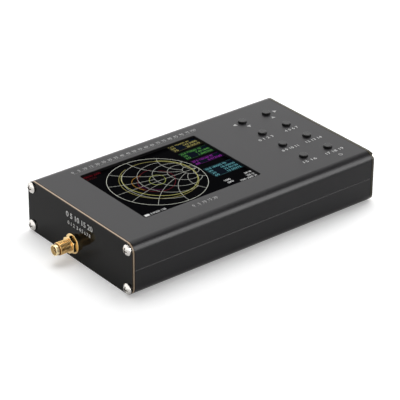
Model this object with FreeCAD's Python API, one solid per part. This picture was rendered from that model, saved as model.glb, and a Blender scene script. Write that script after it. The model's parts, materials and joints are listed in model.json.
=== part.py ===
import FreeCAD, Part
import math
import os
from FreeCAD import Vector

os.makedirs("parts", exist_ok=True)

# Handheld one-port antenna analyzer. Millimetres. The origin is at the middle of the face it rests on.
# The test port points along -X, the keys are towards +X, +Y is the far long side and +Z is up.

# ---------------------------------------------------------------- driving dimensions: case
shell_length = 143.0
case_width = 81.0
case_height = 26.6
corner_radius = 4.5
wall = 1.5
seam_groove = 0.25
panel_thickness = 1.6

tongue_thickness = 0.8
tongue_rise = 2.0
tongue_root = 2.0
tongue_gap = 0.1

rail_depth = 1.6
rail_thickness = 1.0
board_thickness = 1.6
board_slot_gap = 0.1
board_edge_gap = 0.2
board_end_gap = 0.3

# ---------------------------------------------------------------- driving dimensions: panel screws, M3
screw_inset = 3.3
screw_radius = 1.5
screw_core = 1.25
screw_length = 8.0
screw_head_radius = 2.7
screw_head_height = 1.9
screw_head_rim = 0.6
screw_hole_gap = 0.1
recess_length = 3.2
recess_width = 0.65
recess_depth = 1.1
channel_wall = 0.95
channel_slot = 1.2

# ---------------------------------------------------------------- driving dimensions: test port, 1/4-36
port_y = 5.0
port_thread_radius = 3.175
port_pitch_radius = 2.95
port_hole_gap = 0.1
port_reach = 10.8
port_nose_radius = 2.7
port_nose_length = 1.1
port_groove_wall = 0.2
port_groove_length = 0.5
port_mouth_radius = 2.3
port_mouth_depth = 2.0
port_nose_lip = 0.12
port_insulator_radius = 2.05
port_contact_radius = 0.64
port_contact_bore = 0.46
port_contact_recess = 0.4
port_contact_slit = 0.2
port_contact_slit_length = 2.5
port_pin_radius = 0.4
port_pin_length = 3.0
solder_gap = 0.05
port_flange_width = 9.5
port_flange_thickness = 2.0
port_leg_width = 1.2
port_leg_length = 4.0
port_nut_width = 8.0
port_nut_thickness = 2.0
port_nut_chamfer = 0.35
port_washer_radius = 5.0
port_washer_thickness = 0.6

# ---------------------------------------------------------------- driving dimensions: screen module
display_shift = 4.575
display_y = 2.15
window_end_border = 4.15
window_side_border = 6.55
window_corner = 0.8
window_chamfer = 0.2
module_length = 76.9
module_channel_gap = 0.9
module_thickness = 3.2
module_rim = 1.0
module_floor = 0.5
module_inner_gap = 0.1
glass_thickness = 1.5
gasket_thickness = 0.2
gasket_margin = 0.6
display_pad_border = 4.0
display_pad_thickness = 1.9
ribbon_width = 30.0
ribbon_thickness = 0.2
ribbon_lift = 0.4
ribbon_lead = 1.5
ribbon_slope = 3.0
ribbon_plug = 2.0
ribbon_socket_length = 4.5
ribbon_socket_height = 2.0
ribbon_socket_margin = 2.0
ribbon_mouth = 0.6
ribbon_line = 0.9

# ---------------------------------------------------------------- driving dimensions: keys and switches
keys_end_gap = 19.5
keys_y = 1.3
key_columns = 2
key_rows = 4
key_pitch_x = 15.5
key_pitch_y = 15.3
key_radius = 2.05
key_proud = 1.1
key_round = 0.3
key_hole_gap = 0.15
key_hole_chamfer = 0.1
key_flange_radius = 3.0
key_flange_thickness = 0.9
key_ceiling_gap = 0.4
key_travel = 0.25
key_under_gap = 0.15
stem_radius = 1.6
stem_running_gap = 0.05
stem_grip = 2.6
stem_foot_radius = 2.3
stem_foot_thickness = 0.4
stem_foot_gap = 0.15
switch_width = 6.0
switch_floor = 0.5
switch_roof = 0.5
switch_cover = 0.3
dome_radius = 2.2
dome_thickness = 0.15
dome_rise = 0.4

# ---------------------------------------------------------------- driving dimensions: link of the boards
link_end_gap = 13.5
link_y = 0.0
link_pins = 10
link_pitch = 2.54
link_header_height = 2.5
link_pin_width = 0.64
link_pin_floor = 2.5
link_pin_gap = 0.15

# ---------------------------------------------------------------- driving dimensions: battery
battery_front_gap = 12.5
battery_under_gap = 1.4
battery_y = -2.0
battery_width = 52.0
battery_edge_flat = 1.0
battery_pad_thickness = 0.5
battery_pad_border = 6.0
strip_length = 3.5
strip_width = 40.0
strip_height = 3.0
lead_radius = 0.55
lead_pitch = 2.0
lead_y = 8.0
lead_span = 10.5
lead_bend = 1.8
lead_straight = 2.4
plug_length = 6.0
plug_width = 5.4
plug_height = 3.6
plug_insert = 3.0
battery_socket_gap = 0.46
battery_socket_length = 7.0
battery_socket_wall = 0.8
plug_fit_gap = 0.1

# ---------------------------------------------------------------- driving dimensions: main board parts
shield_front_gap = 16.5
shield_y = 0.0
shield_length = 46.0
shield_width = 40.0
shield_height = 2.8
shield_wall = 0.3
shield_lid_gap = 0.05
shield_lid_skirt = 1.2
synthesizer_offset = 8.0
synthesizer_size = 7.0
mixer_offset = -10.0
mixer_size = 4.0
chip_height = 0.9
chip_dot_radius = 0.35
chip_dot_inset = 1.0
chip_dot_depth = 0.1
processor_gap = 12.0
processor_y = -12.0
processor_size = 14.0
processor_height = 1.4
charger_end_gap = 23.5
power_side_gap = 12.8
charger_size = 4.0
inductor_end_gap = 33.5
inductor_size = 6.0
inductor_height = 3.0
inductor_corner = 1.0

# ---------------------------------------------------------------- driving dimensions: rear panel fittings
usb_y = -9.0
usb_width = 8.94
usb_height = 3.26
usb_depth = 7.35
usb_skin = 0.3
usb_setback = 0.2
usb_panel_gap = 0.25
usb_tongue_width = 6.6
usb_tongue_thickness = 0.7
usb_tongue_length = 4.6
usb_tongue_round = 0.2
usb_end_flat = 0.01
led_y = 9.0
led_radius = 1.5
led_height = 3.2
led_proud = 0.8
led_hole_gap = 0.1
led_holder_length = 5.0
led_holder_width = 4.4
led_holder_roof = 0.7

# ---------------------------------------------------------------- derived places
half_width = case_width / 2
inner_half = half_width - wall
seam = case_height / 2
ceiling = case_height - wall
shell_end = shell_length / 2
panel_face = shell_end + panel_thickness

channel_radius = screw_core + channel_wall
screw_y = half_width - screw_inset
low_screw_z = screw_inset
high_screw_z = case_height - screw_inset

board_half = inner_half - board_edge_gap
board_end = shell_end - board_end_gap
main_base = screw_inset + channel_radius + board_slot_gap
main_top = main_base + board_thickness

port_groove_radius = port_mouth_radius + port_groove_wall
port_z = main_top + port_pin_radius + solder_gap
port_tip = -(panel_face + port_reach)
port_back = -shell_end + port_flange_thickness

keys_x = shell_end - keys_end_gap
first_column_x = keys_x - (key_columns - 1) / 2 * key_pitch_x

display_x = (first_column_x - shell_end) / 2 - display_shift
module_width = 2 * (screw_y - channel_radius - module_channel_gap - display_y)
window_length = module_length - 2 * window_end_border
window_width = module_width - 2 * window_side_border
glass_top = ceiling - gasket_thickness
module_base = glass_top - module_thickness
glass_base = glass_top - glass_thickness
display_top = module_base - display_pad_thickness
display_base = display_top - board_thickness

key_top = case_height + key_proud
flange_top = ceiling - key_ceiling_gap
flange_base = flange_top - key_flange_thickness
switch_top = flange_base - key_travel - key_under_gap
housing_top = switch_top - switch_cover
cavity_base = display_top + switch_floor
cavity_top = housing_top - switch_roof
cavity_radius = stem_foot_radius + stem_foot_gap
foot_base = cavity_base + dome_rise + key_travel + stem_foot_gap
stem_top = flange_base + stem_grip

link_x = shell_end - link_end_gap
link_low_x = link_x - link_pitch
link_socket_top = display_base - link_header_height

shield_x = -shell_end + shield_front_gap + shield_length / 2
shield_top = main_top + shield_height + shield_wall

battery_socket_x = link_low_x - battery_socket_gap - battery_socket_length
plug_back = battery_socket_x + plug_insert - plug_length
battery_top = display_base - battery_pad_thickness
battery_base = shield_top + battery_under_gap
battery_start = -shell_end + battery_front_gap
battery_end = plug_back - lead_span - strip_length

processor_x = shield_x + shield_length / 2 + processor_gap + processor_size / 2
charger_x = shell_end - charger_end_gap
inductor_x = shell_end - inductor_end_gap
power_y = -board_half + power_side_gap


# ---------------------------------------------------------------- shapes that several pieces share
def block(x_low, x_high, y_low, y_high, z_low, z_high):
    """A box between two corners."""
    corner = Vector(x_low, y_low, z_low)
    return Part.makeBox(x_high - x_low, y_high - y_low, z_high - z_low, corner)


def centred_block(x, y, length, width, z_low, z_high):
    """A box by the middle of its plan."""
    return block(x - length / 2, x + length / 2, y - width / 2, y + width / 2, z_low, z_high)


def rod_x(x_low, x_high, y, z, radius):
    """A round bar along X."""
    return Part.makeCylinder(radius, x_high - x_low, Vector(x_low, y, z), Vector(1, 0, 0))


def rod_z(x, y, z_low, z_high, radius):
    """A round bar along Z."""
    return Part.makeCylinder(radius, z_high - z_low, Vector(x, y, z_low), Vector(0, 0, 1))


def rounded_face(origin, across, up, width, height, radius):
    """A flat face with four round corners, centred on origin, in the plane of across and up."""
    def at(a, b):
        return origin + across * a + up * b

    half_w = width / 2
    half_h = height / 2
    lean = radius * (1 - math.sqrt(0.5))
    edges = []
    for a, b in ((1, 1), (-1, 1), (-1, -1), (1, -1)):
        near_side = at(a * half_w, b * (half_h - radius))
        middle = at(a * (half_w - lean), b * (half_h - lean))
        near_top = at(a * (half_w - radius), b * half_h)
        start, end = (near_side, near_top) if a * b > 0 else (near_top, near_side)
        edges.append(Part.Arc(start, middle, end).toShape())
    ring = []
    for index, edge in enumerate(edges):
        following = edges[(index + 1) % 4]
        ring.append(edge)
        leave = edge.lastVertex().Point
        reach = following.firstVertex().Point
        if (reach - leave).Length > 1e-6:
            ring.append(Part.LineSegment(leave, reach).toShape())
    return Part.Face(Part.Wire(ring))


def rounded_bar(x_low, x_high, y, z, width, height, radius):
    """A bar along X whose section has round corners."""
    start = Vector(x_low, y, z)
    face = rounded_face(start, Vector(0, 1, 0), Vector(0, 0, 1), width, height, radius)
    return face.extrude(Vector(x_high - x_low, 0, 0))


def rounded_plate(x, y, length, width, z_low, z_high, radius):
    """A plate along Z whose outline has round corners."""
    face = rounded_face(Vector(x, y, z_low), Vector(1, 0, 0), Vector(0, 1, 0), length, width, radius)
    return face.extrude(Vector(0, 0, z_high - z_low))


def turned(points, origin, axis):
    """A solid of revolution from (distance along the axis, radius) points."""
    profile = [Vector(distance, radius, 0) for distance, radius in points]
    face = Part.Face(Part.makePolygon(profile + [profile[0]]))
    solid = face.revolve(Vector(0, 0, 0), Vector(1, 0, 0), 360)
    turn = FreeCAD.Rotation(Vector(1, 0, 0), axis)
    solid.Placement = FreeCAD.Placement(origin, turn)
    return solid


def joined(shapes):
    """One solid from touching or overlapping shapes."""
    return shapes[0].fuse(shapes[1:]).removeSplitter()


def save(name, shape):
    """One sub-part file."""
    shape.exportStep("parts/" + name + ".step")


# ---------------------------------------------------------------- case halves
def outer_bar(length_half):
    """The case's outline, solid, as long as asked."""
    return rounded_bar(-length_half, length_half, 0, seam, case_width, case_height, corner_radius)


def shell_half(low, high, channel_z, board_base):
    """One extruded half: skin, two screw channels and two pairs of board rails."""
    outer = outer_bar(shell_end)
    inner_radius = corner_radius - wall
    inner = rounded_bar(-shell_end, shell_end, 0, seam, 2 * inner_half, case_height - 2 * wall, inner_radius)
    skin = outer.cut(inner)
    additions = []
    for side in (-1, 1):
        y = side * screw_y
        additions.append(rod_x(-shell_end, shell_end, y, channel_z, channel_radius))
        corner_y = sorted((y, side * (inner_half + wall / 2)))
        skin_z = wall / 2 if channel_z < seam else case_height - wall / 2
        corner_z = sorted((channel_z, skin_z))
        additions.append(block(-shell_end, shell_end, *corner_y, *corner_z))
        rail_y = sorted((side * (inner_half - rail_depth), side * (inner_half + wall / 2)))
        under = board_base - board_slot_gap
        over = board_base + board_thickness + board_slot_gap
        additions.append(block(-shell_end, shell_end, *rail_y, under - rail_thickness, under))
        additions.append(block(-shell_end, shell_end, *rail_y, over, over + rail_thickness))
    kept = block(-shell_end, shell_end, -half_width, half_width, low, high)
    half = joined([skin] + additions).common(outer).common(kept).removeSplitter()
    for side in (-1, 1):
        y = side * screw_y
        half = half.cut(rod_x(-shell_end, shell_end, y, channel_z, screw_core))
        mouth_y = sorted((y, side * (screw_y - channel_radius)))
        mouth_z = (channel_z - channel_slot / 2, channel_z + channel_slot / 2)
        half = half.cut(block(-shell_end, shell_end, *mouth_y, *mouth_z))
        half = half.cut(seam_bevel(side))
    return half


def seam_bevel(side):
    """The fine V line outside the joint of the halves."""
    outside = side * half_width
    points = [
        Vector(-shell_end, outside + side * seam_groove, seam - 2 * seam_groove),
        Vector(-shell_end, outside + side * seam_groove, seam + 2 * seam_groove),
        Vector(-shell_end, outside - side * seam_groove, seam),
    ]
    face = Part.Face(Part.makePolygon(points + [points[0]]))
    return face.extrude(Vector(shell_length, 0, 0))


def key_places():
    """Key centres, row by row from the far side."""
    places = []
    for row in range(key_rows):
        for column in range(key_columns):
            x = keys_x + (column - (key_columns - 1) / 2) * key_pitch_x
            y = keys_y + ((key_rows - 1) / 2 - row) * key_pitch_y
            places.append((x, y))
    return places


def top_shell():
    shell = shell_half(seam, case_height, high_screw_z, display_base)
    shell = shell.cut(
        rounded_plate(display_x, display_y, window_length, window_width, seam, case_height, window_corner))
    lead_in = rounded_plate(
        display_x, display_y, window_length + 2 * window_chamfer, window_width + 2 * window_chamfer,
        case_height - window_chamfer, case_height, window_corner + window_chamfer)
    shell = shell.cut(lead_in)
    hole_radius = key_radius + key_hole_gap
    for x, y in key_places():
        shell = shell.cut(rod_z(x, y, ceiling - wall, case_height, hole_radius))
        bevel = Part.makeCone(
            hole_radius, hole_radius + key_hole_chamfer, key_hole_chamfer,
            Vector(x, y, case_height - key_hole_chamfer), Vector(0, 0, 1))
        shell = shell.cut(bevel)
    return shell


def bottom_shell():
    shell = shell_half(0, seam, low_screw_z, main_base)
    tongues = []
    low = seam - tongue_root
    for side in (-1, 1):
        tongue_outer = side * (inner_half - tongue_gap)
        tongue_inner = side * (inner_half - tongue_gap - tongue_thickness)
        blade_y = sorted((tongue_inner, tongue_outer))
        root_y = sorted((tongue_inner, side * (inner_half + wall / 2)))
        tongues.append(block(-shell_end, shell_end, *blade_y, low, seam + tongue_rise))
        tongues.append(block(-shell_end, shell_end, *root_y, low, seam - tongue_gap))
    return joined([shell] + tongues)


# ---------------------------------------------------------------- end panels and their screws
def blank_panel(x_low, x_high):
    """A panel with its four screw holes."""
    panel = rounded_bar(x_low, x_high, 0, seam, case_width, case_height, corner_radius)
    for y in (-screw_y, screw_y):
        for z in (low_screw_z, high_screw_z):
            panel = panel.cut(rod_x(x_low, x_high, y, z, screw_radius + screw_hole_gap))
    return panel


def front_panel():
    panel = blank_panel(-panel_face, -shell_end)
    return panel.cut(rod_x(-panel_face, -shell_end, port_y, port_z, port_thread_radius + port_hole_gap))


def rear_panel():
    panel = blank_panel(shell_end, panel_face)
    width = usb_width + 2 * usb_panel_gap
    height = usb_height + 2 * usb_panel_gap
    slot = rounded_bar(shell_end, panel_face, usb_y, usb_z(), width, height, height / 2 - usb_end_flat)
    panel = panel.cut(slot)
    return panel.cut(rod_x(shell_end, panel_face, led_y, led_z(), led_radius + led_hole_gap))


def screw(direction, y, z):
    """One pan-head screw with a cross recess; its head is outside the panel."""
    outward = Vector(direction, 0, 0)
    seat = Vector(direction * panel_face, y, z)
    dome_rise_out = screw_head_height - screw_head_rim
    ball_radius = (screw_head_radius ** 2 + dome_rise_out ** 2) / (2 * dome_rise_out)
    ball = Part.makeSphere(ball_radius, seat + outward * (screw_head_height - ball_radius))
    rim = Part.makeCylinder(screw_head_radius, screw_head_rim, seat, outward)
    crown_seat = seat + outward * screw_head_rim
    crown = ball.common(Part.makeCylinder(screw_head_radius, dome_rise_out, crown_seat, outward))
    head = joined([rim, crown])
    arms = [
        centred_block(0, 0, 2 * recess_depth, recess_length, -recess_width / 2, recess_width / 2),
        centred_block(0, 0, 2 * recess_depth, recess_width, -recess_length / 2, recess_length / 2),
    ]
    for arm in arms:
        arm.translate(seat + outward * screw_head_height)
        head = head.cut(arm)
    through = Part.makeCylinder(screw_radius, panel_thickness, seat, -outward)
    shell_seat = Vector(direction * shell_end, y, z)
    shank = Part.makeCylinder(screw_core, screw_length - panel_thickness, shell_seat, -outward)
    return joined([head, through, shank])


def screw_set(direction):
    places = [(y, z) for y in (-screw_y, screw_y) for z in (low_screw_z, high_screw_z)]
    return Part.makeCompound([screw(direction, y, z) for y, z in places])


# ---------------------------------------------------------------- test port
def port_body():
    """Threaded barrel with nose and relief groove, square flange and four solder legs.

    The free thread is its crest cylinder. Where the nut grips it, both meet at the pitch cylinder."""
    nose_end = port_nose_length
    groove_end = nose_end + port_groove_length
    nut_back = port_reach - port_washer_thickness
    nut_front = nut_back - port_nut_thickness
    barrel_end = port_back - port_tip
    profile = [
        (0, port_mouth_radius),
        (0, port_nose_radius - port_nose_lip),
        (port_nose_lip, port_nose_radius),
        (nose_end, port_nose_radius),
        (nose_end, port_groove_radius),
        (groove_end, port_groove_radius),
        (groove_end + port_thread_radius - port_groove_radius, port_thread_radius),
        (nut_front, port_thread_radius),
        (nut_front, port_pitch_radius),
        (nut_back, port_pitch_radius),
        (nut_back, port_thread_radius),
        (barrel_end, port_thread_radius),
        (barrel_end, port_insulator_radius),
        (port_mouth_depth, port_insulator_radius),
        (port_mouth_depth, port_mouth_radius),
    ]
    body = turned(profile, Vector(port_tip, port_y, port_z), Vector(1, 0, 0))
    flange_half = port_flange_width / 2
    flange = block(
        -shell_end, port_back, port_y - flange_half, port_y + flange_half,
        port_z - flange_half, port_z + flange_half)
    flange = flange.cut(rod_x(-shell_end, port_back, port_y, port_z, port_insulator_radius))
    pieces = [body, flange]
    leg_offset = flange_half - port_leg_width / 2
    for side in (-1, 1):
        leg_y = port_y + side * leg_offset
        for low, high in ((main_base - port_leg_width, main_base), (main_top, main_top + port_leg_width)):
            pieces.append(block(
                port_back, port_back + port_leg_length,
                leg_y - port_leg_width / 2, leg_y + port_leg_width / 2, low, high))
    return joined(pieces)


def port_insulator():
    start = port_tip + port_mouth_depth
    sleeve = rod_x(start, port_back, port_y, port_z, port_insulator_radius)
    return sleeve.cut(rod_x(start, port_back, port_y, port_z, port_contact_radius))


def port_contact():
    """Slit socket at the mouth, solder pin over the board at the back."""
    start = port_tip + port_contact_recess
    contact = rod_x(start, port_back, port_y, port_z, port_contact_radius)
    contact = contact.cut(rod_x(start, start + port_contact_slit_length, port_y, port_z, port_contact_bore))
    slit = block(
        start, start + port_contact_slit_length, port_y - port_contact_radius, port_y + port_contact_radius,
        port_z - port_contact_slit / 2, port_z + port_contact_slit / 2)
    contact = contact.cut(slit)
    pin = rod_x(port_back, port_back + port_pin_length, port_y, port_z, port_pin_radius)
    return joined([contact, pin])


def port_washer():
    low = -panel_face - port_washer_thickness
    ring = rod_x(low, -panel_face, port_y, port_z, port_washer_radius)
    return ring.cut(rod_x(low, -panel_face, port_y, port_z, port_thread_radius + port_hole_gap))


def port_nut():
    high = -panel_face - port_washer_thickness
    low = high - port_nut_thickness
    corner = port_nut_width / math.sqrt(3)
    points = []
    for side in range(6):
        angle = math.pi / 6 + math.pi / 3 * side
        points.append(Vector(low, port_y + corner * math.cos(angle), port_z + corner * math.sin(angle)))
    hexagon = Part.Face(Part.makePolygon(points + [points[0]]))
    nut = hexagon.extrude(Vector(port_nut_thickness, 0, 0))
    profile = [
        (0, 0),
        (0, corner - port_nut_chamfer),
        (port_nut_chamfer, corner),
        (port_nut_thickness, corner),
        (port_nut_thickness, 0),
    ]
    trim = turned(profile, Vector(low, port_y, port_z), Vector(1, 0, 0))
    nut = nut.common(trim)
    return nut.cut(rod_x(low, high, port_y, port_z, port_pitch_radius))


# ---------------------------------------------------------------- boards
def main_board():
    return block(port_back, board_end, -board_half, board_half, main_base, main_top)


def display_board():
    return block(-board_end, board_end, -board_half, board_half, display_base, display_top)


# ---------------------------------------------------------------- screen module
def display_frame():
    tray = centred_block(display_x, display_y, module_length, module_width, module_base, glass_top)
    pocket = centred_block(
        display_x, display_y, module_length - 2 * module_rim, module_width - 2 * module_rim,
        module_base + module_floor, glass_top)
    return tray.cut(pocket)


def pocket_plate(z_low, z_high):
    """A plate that drops into the tray."""
    border = 2 * (module_rim + module_inner_gap)
    return centred_block(display_x, display_y, module_length - border, module_width - border, z_low, z_high)


def display_gasket():
    frame = centred_block(display_x, display_y, module_length, module_width, glass_top, ceiling)
    hole = centred_block(
        display_x, display_y, window_length + 2 * gasket_margin, window_width + 2 * gasket_margin,
        glass_top, ceiling)
    return frame.cut(hole)


def display_pad():
    return centred_block(
        display_x, display_y, module_length - 2 * display_pad_border, module_width - 2 * display_pad_border,
        display_top, module_base)


def ribbon_socket_start():
    return display_x + module_length / 2 + ribbon_lead + ribbon_slope + ribbon_plug - ribbon_mouth


def display_ribbon():
    """Flat flex that leaves the module's side and steps down to its socket."""
    start = display_x + module_length / 2
    high = module_base + ribbon_lift
    low = display_top + ribbon_line
    line = [
        (start, high),
        (start + ribbon_lead, high),
        (start + ribbon_lead + ribbon_slope, low),
        (start + ribbon_lead + ribbon_slope + ribbon_plug, low),
    ]
    upper = [Vector(x, 0, z + ribbon_thickness) for x, z in line]
    lower = [Vector(x, 0, z) for x, z in reversed(line)]
    points = upper + lower
    face = Part.Face(Part.makePolygon(points + [points[0]]))
    ribbon = face.extrude(Vector(0, ribbon_width, 0))
    ribbon.translate(Vector(0, display_y - ribbon_width / 2, 0))
    return ribbon


def ribbon_socket():
    start = ribbon_socket_start()
    half = ribbon_width / 2 + ribbon_socket_margin
    socket = block(
        start, start + ribbon_socket_length, display_y - half, display_y + half,
        display_top, display_top + ribbon_socket_height)
    mouth = block(
        start, start + ribbon_plug, display_y - ribbon_width / 2, display_y + ribbon_width / 2,
        display_top + ribbon_line, display_top + ribbon_line + ribbon_thickness)
    return socket.cut(mouth)


# ---------------------------------------------------------------- keys and their switches
def key_cap(x, y):
    """Round cap with a domed top, a flange that keeps it in, and a blind bore for the stem."""
    body = rod_z(x, y, flange_top, key_top, key_radius)
    top_edges = [edge for edge in body.Edges if edge.BoundBox.ZMin > key_top - 1e-6]
    body = body.makeFillet(key_round, top_edges[:1])
    flange = rod_z(x, y, flange_base, flange_top, key_flange_radius)
    cap = joined([body, flange])
    return cap.cut(rod_z(x, y, flange_base, stem_top, stem_radius))


def key_stem(x, y):
    """The switch's plunger: a round stem with a foot inside the switch."""
    stem = rod_z(x, y, foot_base, stem_top, stem_radius)
    foot = rod_z(x, y, foot_base, foot_base + stem_foot_thickness, stem_foot_radius)
    return joined([stem, foot])


def switch_housing(x, y):
    housing = centred_block(x, y, switch_width, switch_width, display_top, housing_top)
    housing = housing.cut(rod_z(x, y, cavity_base, cavity_top, cavity_radius))
    return housing.cut(rod_z(x, y, cavity_top, housing_top, stem_radius + stem_running_gap))


def switch_cover_plate(x, y):
    plate = centred_block(x, y, switch_width, switch_width, housing_top, switch_top)
    return plate.cut(rod_z(x, y, housing_top, switch_top, stem_radius + stem_running_gap))


def switch_dome(x, y):
    """A snap dome: a shallow cap of thin spring steel on the switch's floor."""
    outer_radius = (dome_radius ** 2 + dome_rise ** 2) / (2 * dome_rise)
    centre = Vector(x, y, cavity_base + dome_rise - outer_radius)
    outer = Part.makeSphere(outer_radius, centre)
    inner = Part.makeSphere(outer_radius - dome_thickness, centre)
    slab = rod_z(x, y, cavity_base, cavity_base + dome_rise + dome_thickness, dome_radius)
    return outer.cut(inner).common(slab)


# ---------------------------------------------------------------- link between the boards
def link_pin_places():
    places = []
    for column in (-0.5, 0.5):
        for row in range(link_pins):
            y = link_y + (row - (link_pins - 1) / 2) * link_pitch
            places.append((link_x + column * link_pitch, y))
    return places


def link_block(z_low, z_high, hole_width, hole_low):
    """A two-row housing with a square hole for each pin."""
    housing = centred_block(link_x, link_y, 2 * link_pitch, link_pins * link_pitch, z_low, z_high)
    holes = [centred_block(x, y, hole_width, hole_width, hole_low, z_high) for x, y in link_pin_places()]
    return housing.cut(Part.makeCompound(holes))


def board_socket():
    hole_width = link_pin_width + 2 * link_pin_gap
    hole_low = main_top + link_pin_floor - link_pin_gap
    return link_block(main_top, link_socket_top, hole_width, hole_low)


def board_header():
    return link_block(link_socket_top, display_base, link_pin_width, link_socket_top)


def header_pins():
    low = main_top + link_pin_floor
    width = link_pin_width
    pins = [centred_block(x, y, width, width, low, display_base) for x, y in link_pin_places()]
    return Part.makeCompound(pins)


# ---------------------------------------------------------------- battery
def battery():
    half = battery_width / 2
    cell = block(battery_start, battery_end, battery_y - half, battery_y + half, battery_base, battery_top)
    long_edges = []
    for edge in cell.Edges:
        if edge.BoundBox.XLength > battery_width:
            long_edges.append(edge)
    battery_round = (battery_top - battery_base) / 2 - battery_edge_flat
    return cell.makeFillet(battery_round, long_edges)


def battery_pad():
    half = battery_width / 2 - battery_pad_border
    return block(
        battery_start + battery_pad_border, battery_end - battery_pad_border,
        battery_y - half, battery_y + half, battery_top, display_base)


def strip_z():
    return (battery_base + battery_top) / 2


def battery_strip():
    return block(
        battery_end, battery_end + strip_length, battery_y - strip_width / 2, battery_y + strip_width / 2,
        strip_z() - strip_height / 2, strip_z() + strip_height / 2)


def plug_z():
    return main_top + battery_socket_wall + plug_fit_gap + plug_height / 2


def battery_socket():
    """Side-entry socket, open towards the battery."""
    height = plug_height + 2 * (battery_socket_wall + plug_fit_gap)
    width = plug_width + 2 * (battery_socket_wall + plug_fit_gap)
    housing = block(
        battery_socket_x, battery_socket_x + battery_socket_length,
        battery_y + lead_y - width / 2, battery_y + lead_y + width / 2, main_top, main_top + height)
    mouth_half = plug_width / 2 + plug_fit_gap
    mouth = block(
        battery_socket_x, battery_socket_x + plug_insert,
        battery_y + lead_y - mouth_half, battery_y + lead_y + mouth_half,
        plug_z() - plug_height / 2 - plug_fit_gap, plug_z() + plug_height / 2 + plug_fit_gap)
    return housing.cut(mouth)


def battery_plug():
    return block(
        plug_back, battery_socket_x + plug_insert,
        battery_y + lead_y - plug_width / 2, battery_y + lead_y + plug_width / 2,
        plug_z() - plug_height / 2, plug_z() + plug_height / 2)


def lead_path(y):
    """Straight out of the strip, down an S of two tangent arcs, straight into the plug."""
    start = Vector(battery_end + strip_length, y, strip_z())
    end = Vector(plug_back, y, plug_z())
    corners = [start, start + Vector(lead_straight, 0, 0), end - Vector(lead_straight, 0, 0), end]
    edges = []
    here = corners[0]
    for index in (1, 2):
        corner = corners[index]
        back = (corners[index - 1] - corner).normalize()
        ahead = (corners[index + 1] - corner).normalize()
        turn = math.pi - back.getAngle(ahead)
        setback = lead_bend * math.tan(turn / 2)
        bisector = (back + ahead).normalize()
        centre = corner + bisector * (lead_bend / math.cos(turn / 2))
        entry = corner + back * setback
        leave = corner + ahead * setback
        middle = centre - bisector * lead_bend
        edges.append(Part.LineSegment(here, entry).toShape())
        edges.append(Part.Arc(entry, middle, leave).toShape())
        here = leave
    edges.append(Part.LineSegment(here, corners[3]).toShape())
    return Part.Wire(edges)


def battery_leads():
    leads = []
    for side in (-0.5, 0.5):
        path = lead_path(battery_y + lead_y + side * lead_pitch)
        start = path.Edges[0].firstVertex().Point
        circle = Part.Wire([Part.makeCircle(lead_radius, start, Vector(1, 0, 0))])
        tube = path.makePipeShell([circle], True, False)
        expected = math.pi * lead_radius ** 2 * path.Length
        print("battery lead: bend radius", lead_bend, "volume ratio", round(tube.Volume / expected, 4))
        leads.append(tube)
    return Part.makeCompound(leads)


# ---------------------------------------------------------------- parts on the main board
def shield_frame():
    top = main_top + shield_height
    outer = centred_block(shield_x, shield_y, shield_length, shield_width, main_top, top)
    inner = centred_block(
        shield_x, shield_y, shield_length - 2 * shield_wall, shield_width - 2 * shield_wall, main_top, top)
    return outer.cut(inner)


def shield_lid():
    border = 2 * (shield_lid_gap + shield_wall)
    top = main_top + shield_height
    outer = centred_block(
        shield_x, shield_y, shield_length + border, shield_width + border, top - shield_lid_skirt,
        top + shield_wall)
    inner = centred_block(
        shield_x, shield_y, shield_length + 2 * shield_lid_gap, shield_width + 2 * shield_lid_gap,
        top - shield_lid_skirt, top)
    return outer.cut(inner)


def chip(x, y, size, height):
    """A square chip with a dot at pin one."""
    top = main_top + height
    body = centred_block(x, y, size, size, main_top, top)
    offset = size / 2 - chip_dot_inset
    return body.cut(rod_z(x - offset, y - offset, top - chip_dot_depth, top, chip_dot_radius))


def power_inductor():
    return rounded_plate(
        inductor_x, power_y, inductor_size, inductor_size, main_top, main_top + inductor_height,
        inductor_corner)


# ---------------------------------------------------------------- rear panel fittings
def usb_z():
    return main_top + usb_height / 2


def usb_shell():
    mouth = panel_face - usb_setback
    back = mouth - usb_depth
    radius = usb_height / 2 - usb_end_flat
    outer = rounded_bar(back, mouth, usb_y, usb_z(), usb_width, usb_height, radius)
    inner = rounded_bar(
        back + usb_skin, mouth, usb_y, usb_z(), usb_width - 2 * usb_skin, usb_height - 2 * usb_skin,
        radius - usb_skin)
    return outer.cut(inner)


def usb_tongue():
    back = panel_face - usb_setback - usb_depth + usb_skin
    return rounded_bar(
        back, back + usb_tongue_length, usb_y, usb_z(), usb_tongue_width, usb_tongue_thickness,
        usb_tongue_round)


def led_z():
    return main_top + led_height


def led_end():
    return panel_face + led_proud


def led_holder():
    """Upright block that carries the light at the height of its hole."""
    top = led_z() + led_radius + led_holder_roof
    half = led_holder_width / 2
    holder = block(
        board_end - led_holder_length, board_end, led_y - half, led_y + half, main_top, top)
    return holder.cut(rod_x(board_end - led_holder_length / 2, board_end, led_y, led_z(), led_radius))


def charge_led():
    """Round lens with a domed end just outside the rear panel."""
    start = board_end - led_holder_length / 2
    body = rod_x(start, led_end() - led_radius, led_y, led_z(), led_radius)
    dome = Part.makeSphere(led_radius, Vector(led_end() - led_radius, led_y, led_z()))
    return joined([body, dome])


# ---------------------------------------------------------------- write every sub-part
save("top_shell", top_shell())
save("bottom_shell", bottom_shell())
save("front_panel", front_panel())
save("rear_panel", rear_panel())
save("front_panel_screws", screw_set(-1))
save("rear_panel_screws", screw_set(1))

save("test_port_body", port_body())
save("test_port_insulator", port_insulator())
save("test_port_contact", port_contact())
save("test_port_washer", port_washer())
save("test_port_nut", port_nut())

save("main_board", main_board())
save("display_board", display_board())

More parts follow.
